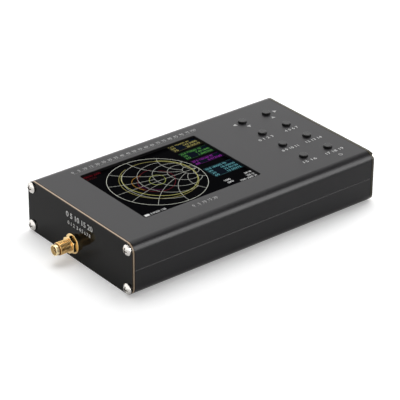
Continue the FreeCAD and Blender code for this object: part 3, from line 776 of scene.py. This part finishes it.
corner_rows = (
    ("100.05 2500", -50.5, -41.0, 26.3, 1.7, red_light),
    ("3.9250", -50.5, -45.0, 23.9, 1.5, dim_red),
    ("3.9250 125", -46.6, -38.0, -20.3, 1.4, white_light),
    ("1000", 0.25, 3.8, -16.2, 1.4, white_light),
    ("2000", 0.25, 3.8, -18.6, 1.4, white_light),
    ("500 100", 12.5, 16.7, -16.2, 1.4, white_light),
    ("250 50", 11.9, 16.7, -18.6, 1.4, white_light),
    ("1000 5000 25", 6.5, 16.5, -20.6, 1.2, white_light))
for body, left, right, foot, height, light in corner_rows:
    reading_parts.append(reading(body, left, right, foot, height, light))
badge_low = (-50.0 * mm, -20.4 * mm, picture_z)
badge_high = (-47.4 * mm, -18.8 * mm, picture_z + picture_depth)
reading_parts.append((box_mesh(badge_low, badge_high), white_light))
finished("screen_readings", reading_parts, "case")


# ---------------------------------------------------------------- printing on the case
# White screen printing on the anodised top: a graduated rule beyond the screen, a short one in
# front of it, and a mark by every key. The front panel carries two rows of figures over the port.
# All of it is plain figures and lines.
top_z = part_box("top_shell")[1].z
ink_depth = 0.02 * mm
ink_film = (0.5, 0.05, 0.1 * mm, 0.002 * mm, 3 * mm)

ink = surface("white_ink", (0.58, 0.58, 0.57), (0.66, 0.66, 0.65), *ink_film)
key_ink = surface("key_ink", (0.40, 0.40, 0.395), (0.48, 0.48, 0.475), *ink_film)
faint_ink = surface("faint_ink", (0.26, 0.26, 0.255), (0.34, 0.34, 0.335), *ink_film)


def graduation_tree():
    """A row of tick marks along X, every so many of them long, standing on the plane z = 0."""
    tree = bpy.data.node_groups.new("graduations", "GeometryNodeTree")
    tree.interface.new_socket("Count", in_out="INPUT", socket_type="NodeSocketInt")
    for name in ("Spacing", "Line Width", "Short Line", "Long Line", "Depth"):
        tree.interface.new_socket(name, in_out="INPUT", socket_type="NodeSocketFloat")
    tree.interface.new_socket("Long Every", in_out="INPUT", socket_type="NodeSocketInt")
    tree.interface.new_socket("Ink", in_out="INPUT", socket_type="NodeSocketMaterial")
    tree.interface.new_socket("Geometry", in_out="OUTPUT", socket_type="NodeSocketGeometry")
    entry = tree.nodes.new("NodeGroupInput")
    leave = tree.nodes.new("NodeGroupOutput")
    row = tree.nodes.new("GeometryNodeMeshLine")
    row.mode = "OFFSET"
    pitch = tree.nodes.new("ShaderNodeCombineXYZ")
    index = tree.nodes.new("GeometryNodeInputIndex")
    place_in_group = calculated(tree, "MODULO", index.outputs[0], entry.outputs["Long Every"])
    is_short = calculated(tree, "GREATER_THAN", place_in_group, 0.5)
    length = mixed(
        tree, "FLOAT", is_short, entry.outputs["Long Line"], entry.outputs["Short Line"])
    size = tree.nodes.new("ShaderNodeCombineXYZ")
    shift = tree.nodes.new("ShaderNodeVectorMath")
    shift.operation = "MULTIPLY"
    shift.inputs[1].default_value = (0, 0.5, 0.5)
    tick = tree.nodes.new("GeometryNodeMeshCube")
    stamp = tree.nodes.new("GeometryNodeInstanceOnPoints")
    stand = tree.nodes.new("GeometryNodeTranslateInstances")
    stand.inputs["Local Space"].default_value = False
    real = tree.nodes.new("GeometryNodeRealizeInstances")
    coat = tree.nodes.new("GeometryNodeSetMaterial")
    link = tree.links.new
    link(entry.outputs["Count"], row.inputs["Count"])
    link(entry.outputs["Spacing"], pitch.inputs["X"])
    link(pitch.outputs[0], row.inputs["Offset"])
    link(entry.outputs["Line Width"], size.inputs["X"])
    link(length, size.inputs["Y"])
    link(entry.outputs["Depth"], size.inputs["Z"])
    link(size.outputs[0], shift.inputs[0])
    link(row.outputs["Mesh"], stamp.inputs["Points"])
    link(tick.outputs["Mesh"], stamp.inputs["Instance"])
    link(size.outputs[0], stamp.inputs["Scale"])
    link(stamp.outputs["Instances"], stand.inputs["Instances"])
    link(shift.outputs[0], stand.inputs["Translation"])
    link(stand.outputs["Instances"], real.inputs["Geometry"])
    link(real.outputs["Geometry"], coat.inputs["Geometry"])
    link(entry.outputs["Ink"], coat.inputs["Material"])
    link(coat.outputs["Geometry"], leave.inputs["Geometry"])
    return tree


graduations = graduation_tree()


def baked(tree, values):
    """The mesh that a Geometry Nodes tree makes with these named inputs."""
    carrier = bpy.data.objects.new("carrier", bpy.data.meshes.new("carrier"))
    bpy.context.scene.collection.objects.link(carrier)
    maker = carrier.modifiers.new("maker", "NODES")
    maker.node_group = tree
    for item in tree.interface.items_tree:
        if item.in_out == "INPUT" and item.name in values:
            maker[item.identifier] = values[item.name]
    bpy.context.view_layer.update()
    worked_out = carrier.evaluated_get(bpy.context.evaluated_depsgraph_get())
    mesh = bpy.data.meshes.new_from_object(worked_out)
    carrier.modifiers.remove(maker)
    bpy.data.objects.remove(carrier)
    return mesh


tick_width = 0.16 * mm
figure_gap = 0.35 * mm
rule_figures = 1.65 * mm


def tick_row(length, count, long_every, long_line):
    """The lines of a graduated rule. Between the long ones they are half as long."""
    values = {
        "Count": count, "Spacing": length / (count - 1), "Line Width": tick_width,
        "Short Line": long_line / 2, "Long Line": long_line, "Depth": ink_depth,
        "Long Every": long_every, "Ink": faint_ink}
    return baked(graduations, values)


def scale_with_figures(length, labels, per_label, tick, start):
    """A graduated rule with a figure over every long line, laid on the top from its start."""
    count = (len(labels) - 1) * per_label + 1
    meshes = [tick_row(length, count, per_label, tick)]
    for index, label in enumerate(labels):
        mesh = figures(label, rule_figures, ink_depth)
        middle = length * index / (len(labels) - 1)
        mesh.transform(Matrix.Translation((middle - width_of(mesh) / 2, tick + figure_gap, 0)))
        meshes.append(mesh)
    for mesh in meshes:
        mesh.transform(Matrix.Translation((start.x, start.y, top_z)))
    return [(mesh, faint_ink) for mesh in meshes]


title_start = Vector((-53.2, 30.4)) * mm
title_length = 72.6 * mm
title_tick = 0.7 * mm
title_labels = [str(5 * step) for step in range(21)]
title = scale_with_figures(title_length, title_labels, 4, title_tick, title_start)
finished("title_scale", title, "case")

maker_start = Vector((-28.2, -29.6)) * mm
maker_length = 12.8 * mm
maker_tick = 0.6 * mm
maker_labels = [str(5 * step) for step in range(5)]
maker = scale_with_figures(maker_length, maker_labels, 2, maker_tick, maker_start)
finished("maker_scale", maker, "case")

panel_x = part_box("front_panel")[0].x
panel_turn = Matrix(((0, 0, -1, panel_x), (-1, 0, 0, 0), (0, 1, 0, 0), (0, 0, 0, 1)))
port_weight = 0.02
port_print = []
for body, left, right, foot, height in (
        ("0 5 10 15 20", -9.9, 10.7, 20.2, 2.8), ("0 1 2", -8.7, -3.2, 16.5, 1.9),
        ("3 4 5", -1.7, 3.3, 16.5, 1.9), ("6 7 8", 4.2, 8.9, 16.5, 1.9)):
    place = panel_turn @ Matrix.Translation((left * mm, foot * mm, 0))
    mesh = spread_figures(
        body, height * mm, ink_depth, (right - left) * mm, place, weight=port_weight)
    port_print.append((mesh, ink))
finished("port_scale", port_print, "case")


# ---------------------------------------------------------------- keys
# Eight round caps of black moulded plastic, each pressed on the stem of its switch.
# They stand a little over a millimetre proud and travel a quarter of a millimetre.
key_black = surface(
    "key_black", (0.010, 0.010, 0.010), (0.013, 0.013, 0.013), 0.30, 0.03,
    0.12 * mm, 0.001 * mm, 3 * mm, specular=0.20)
stem_grey = surface(
    "stem_grey", (0.30, 0.30, 0.31), (0.36, 0.36, 0.37), 0.5, 0.05,
    0.15 * mm, 0.003 * mm, 2 * mm)
dress(key_black, *[name for name in nodes if name.startswith("key_cap_")])
dress(stem_grey, *[name for name in nodes if name.startswith("key_stem_")])


def flat_shape(points, depth):
    """A flat closed plate from plan corners."""
    build = bmesh.new()
    lower = [build.verts.new((x, y, 0)) for x, y in points]
    upper = [build.verts.new((x, y, depth)) for x, y in points]
    build.faces.new(lower)
    build.faces.new(upper)
    for index in range(len(points)):
        beside = (index + 1) % len(points)
        build.faces.new((lower[index], lower[beside], upper[beside], upper[index]))
    return mesh_of(build, smooth=False)


mark_height = 1.8 * mm
mark_drop = 6.1 * mm
arrow_reach = 1.35 * mm
arrow_side = 4.9 * mm
arrow_side_drop = 0.5 * mm
arrow_drop = 5.3 * mm


def arrow(x, y, turn):
    """A small triangle that points along turn, in degrees from +X."""
    points = arc_points((0, 0), arrow_reach, 0, 4 * math.pi / 3, 2)
    mesh = flat_shape(points, ink_depth)
    place = Matrix.Translation((x, y, top_z))
    mesh.transform(place @ Matrix.Rotation(math.radians(turn), 4, "Z"))
    return mesh, faint_ink


def key_mark(body, left, right, y):
    """Plain figures spread from left to right, their feet at y."""
    place = Matrix.Translation((left, y, top_z))
    return spread_figures(body, mark_height, ink_depth, right - left, place), key_ink


def key_place(number):
    """The middle of a key's cap."""
    low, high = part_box("key_cap_" + str(number))
    return (low + high) / 2


key_marks = []
for number, turn, side, drop_turn in ((1, 180, -1, -90), (2, 0, 1, 90)):
    spot = key_place(number)
    key_marks.append(arrow(spot.x + side * arrow_side, spot.y - arrow_side_drop, turn))
    key_marks.append(arrow(spot.x, spot.y - arrow_drop, drop_turn))
key_figures = (
    (3, "0 1 2 3", -6.5, 2.4), (4, "4 5 6 7", -5.4, 3.0), (5, "8 9 10 11", -4.7, 5.4),
    (6, "12 13 14", -5.0, 4.9), (7, "15 16", -4.5, 3.5), (8, "17 18 19", -5.6, 5.3))
for number, body, left, right in key_figures:
    spot = key_place(number)
    key_marks.append(key_mark(body, spot.x + left * mm, spot.x + right * mm, spot.y - mark_drop))

power_offset = Vector((-0.4, -9.7, 0)) * mm
power_radius = 0.9 * mm
power_line = 0.28 * mm
power_start, power_sweep = math.radians(125), math.radians(290)
power_steps = 20
bar_foot, bar_top = 0.2 * mm, 1.3 * mm
spot = key_place(8) + power_offset
power_arc = arc_points(spot, power_radius, power_start, power_sweep, power_steps)
ring = strip(power_arc, power_line, ink_depth)
ring.transform(Matrix.Translation((0, 0, top_z)))
bar = box_mesh(
    (spot.x - power_line / 2, spot.y + bar_foot, top_z),
    (spot.x + power_line / 2, spot.y + bar_top, top_z + ink_depth))
key_marks += [(ring, faint_ink), (bar, faint_ink)]
finished("key_marks", key_marks, "case")


# ---------------------------------------------------------------- switches, boards and battery
# Tact switches and the two boards: glass-fibre laminate with green mask, moulded housings,
# tinned and gilded pins, a pressed shield can and the lithium cell in its foil pouch.
green_board = surface(
    "green_board", (0.012, 0.075, 0.030), (0.016, 0.095, 0.040), 0.30, 0.05,
    0.5 * mm, 0.002 * mm, 8 * mm)
dress(green_board, "main_board", "display_board", "battery_strip")

black_plastic = surface(
    "black_plastic", (0.016, 0.016, 0.017), (0.024, 0.024, 0.025), 0.42, 0.06,
    0.12 * mm, 0.004 * mm, 4 * mm)
dress(
    black_plastic, "switch_housings", "board_socket", "board_header", "rf_synthesizer", "rf_mixer",
    "processor", "charger_chip", "power_inductor", "usb_tongue", "led_holder")

dress(tray_steel, "switch_covers", "switch_domes", "shield_frame", "shield_lid", "usb_shell")
dress(gold, "header_pins")

pouch_foil = surface(
    "pouch_foil", (0.58, 0.58, 0.60), (0.68, 0.68, 0.70), 0.38, 0.08,
    0.8 * mm, 0.02 * mm, 12 * mm, metallic=1.0)
dress(pouch_foil, "battery")

red_lead = surface(
    "red_lead", (0.42, 0.02, 0.015), (0.50, 0.03, 0.02), 0.40, 0.05,
    0.2 * mm, 0.003 * mm, 3 * mm)
dress(red_lead, "battery_leads")

clear_lens = surface(
    "clear_lens", (0.80, 0.80, 0.78), (0.86, 0.86, 0.84), 0.10, 0.03,
    0.2 * mm, 0.0005 * mm, 2 * mm, transmission=0.85)
dress(clear_lens, "charge_led")


# ---------------------------------------------------------------- studio
# A white floor in a pale room, under two softboxes. A lamp beyond the rear end fills the far side
# and a large one off to the right only shows as a gloss. Mirrored rays see bright walls and a dark
# ceiling. The camera has a long lens and looks down at the near left corner.
floor_white = 0.78
floor_glow = 0.30
floor_reach = 6.0
floor_drop = 0.02 * mm

floor_mesh = bpy.data.meshes.new("floor")
corners = [(x * floor_reach, y * floor_reach, -floor_drop) for x, y in (
    (-1, -1), (1, -1), (1, 1), (-1, 1))]
floor_mesh.from_pydata(corners, [], [(0, 1, 2, 3)])
floor = bpy.data.objects.new("floor", floor_mesh)
bpy.context.scene.collection.objects.link(floor)


def seen_rays(tree, path):
    """1 for rays that show the studio: straight, mirrored or through glass."""
    seen = path.outputs["Is Camera Ray"]
    for name in ("Is Glossy Ray", "Is Transmission Ray"):
        seen = calculated(tree, "MAXIMUM", seen, path.outputs[name])
    return seen


floor_material = bpy.data.materials.new("floor_sweep")
floor_material.use_nodes = True
tree = floor_material.node_tree
tree.nodes.remove(tree.nodes["Principled BSDF"])
paint = tree.nodes.new("ShaderNodeBsdfDiffuse")
paint.inputs["Color"].default_value = (floor_white, floor_white, floor_white, 1)
lift = tree.nodes.new("ShaderNodeEmission")
together = tree.nodes.new("ShaderNodeAddShader")
seen = seen_rays(tree, tree.nodes.new("ShaderNodeLightPath"))
tree.links.new(calculated(tree, "MULTIPLY", seen, floor_glow), lift.inputs["Strength"])
tree.links.new(paint.outputs[0], together.inputs[0])
tree.links.new(lift.outputs[0], together.inputs[1])
tree.links.new(together.outputs[0], tree.nodes["Material Output"].inputs["Surface"])
floor_mesh.materials.append(floor_material)

room_light = 0.36
wall_top = 0.62
ceiling_dark = 0.80
ceiling_level = 0.04
wall_level = 2.36

world = bpy.data.worlds.new("studio")
bpy.context.scene.world = world
world.use_nodes = True
tree = world.node_tree
soft = tree.nodes["Background"]
soft.inputs["Color"].default_value = (1, 1, 1, 1)
soft.inputs["Strength"].default_value = room_light
white = tree.nodes.new("ShaderNodeBackground")
white.inputs["Color"].default_value = (1, 1, 1, 1)
direction = tree.nodes.new("ShaderNodeTexCoord")
height = tree.nodes.new("ShaderNodeSeparateXYZ")
tree.links.new(direction.outputs["Generated"], height.inputs[0])
fade = ranged(
    tree, height.outputs["Z"], (wall_top, ceiling_dark), (wall_level, ceiling_level), "SMOOTHSTEP")
mirrored = tree.nodes.new("ShaderNodeBackground")
tree.links.new(fade, mirrored.inputs["Strength"])
path = tree.nodes.new("ShaderNodeLightPath")
seen = seen_rays(tree, path)
choose_mirror = tree.nodes.new("ShaderNodeMixShader")
tree.links.new(path.outputs["Is Glossy Ray"], choose_mirror.inputs[0])
tree.links.new(white.outputs[0], choose_mirror.inputs[1])
tree.links.new(mirrored.outputs[0], choose_mirror.inputs[2])
choose = tree.nodes.new("ShaderNodeMixShader")
tree.links.new(seen, choose.inputs[0])
tree.links.new(soft.outputs[0], choose.inputs[1])
tree.links.new(choose_mirror.outputs[0], choose.inputs[2])
tree.links.new(choose.outputs[0], tree.nodes["World Output"].inputs["Surface"])


def softbox(name, spot, aim, long_axis, length, width, watts):
    """An area lamp at spot that faces aim, its long side along long_axis."""
    data = bpy.data.lights.new(name, "AREA")
    data.shape = "RECTANGLE"
    data.size = length
    data.size_y = width
    data.energy = watts
    lamp = bpy.data.objects.new(name, data)
    back = (Vector(spot) - Vector(aim)).normalized()
    right = (Vector(long_axis) - back * Vector(long_axis).dot(back)).normalized()
    up = back.cross(right)
    lamp.matrix_world = Matrix.Translation(spot) @ Matrix((right, up, back)).transposed().to_4x4()
    bpy.context.scene.collection.objects.link(lamp)
    lamp.visible_camera = False
    return lamp


middle = (cad_low + cad_high) / 2
softbox("overhead", (0.15, 0.12, 1.0), middle, (1, 0, 0), 0.60, 0.60, 3.8)
softbox("wide_back", (0.15, 0.42, 1.0), middle, (1, 0, 0), 0.80, 1.00, 5.3)
end_fill = softbox("end_fill", (1.00, 0.30, 0.42), middle, (0, 1, 0), 0.60, 0.50, 6.5)
end_fill.visible_glossy = False
edge_strip = softbox("edge_strip", (1.12, -1.46, 0.78), middle, (0, 0, 1), 1.40, 0.80, 39.0)
edge_strip.visible_diffuse = False

view_azimuth = math.radians(-39.001)
view_height = math.radians(28.640)
view_roll = math.radians(0.4854)
view_distance = 0.98957
view_lens = 186.30
view_film = 36.0
view_reach = 20.0
aim_point = Vector((0, 0, 0.0135))
aim_right = -0.0015057
aim_up = -0.0047942

back = Vector((
    math.sin(view_azimuth) * math.cos(view_height),
    -math.cos(view_azimuth) * math.cos(view_height),
    math.sin(view_height)))
level_right = (-back).cross(Vector((0, 0, 1))).normalized()
level_up = level_right.cross(-back)
right = level_right * math.cos(view_roll) + level_up * math.sin(view_roll)
up = level_up * math.cos(view_roll) - level_right * math.sin(view_roll)

camera_data = bpy.data.cameras.new("camera")
camera_data.lens = view_lens
camera_data.sensor_width = view_film
camera_data.clip_end = view_reach
camera = bpy.data.objects.new("camera", camera_data)
spot = aim_point + back * view_distance + right * aim_right + up * aim_up
camera.matrix_world = Matrix.Translation(spot) @ Matrix((right, up, back)).transposed().to_4x4()
bpy.context.scene.collection.objects.link(camera)
bpy.context.scene.camera = camera
bpy.context.scene.view_settings.view_transform = "Standard"
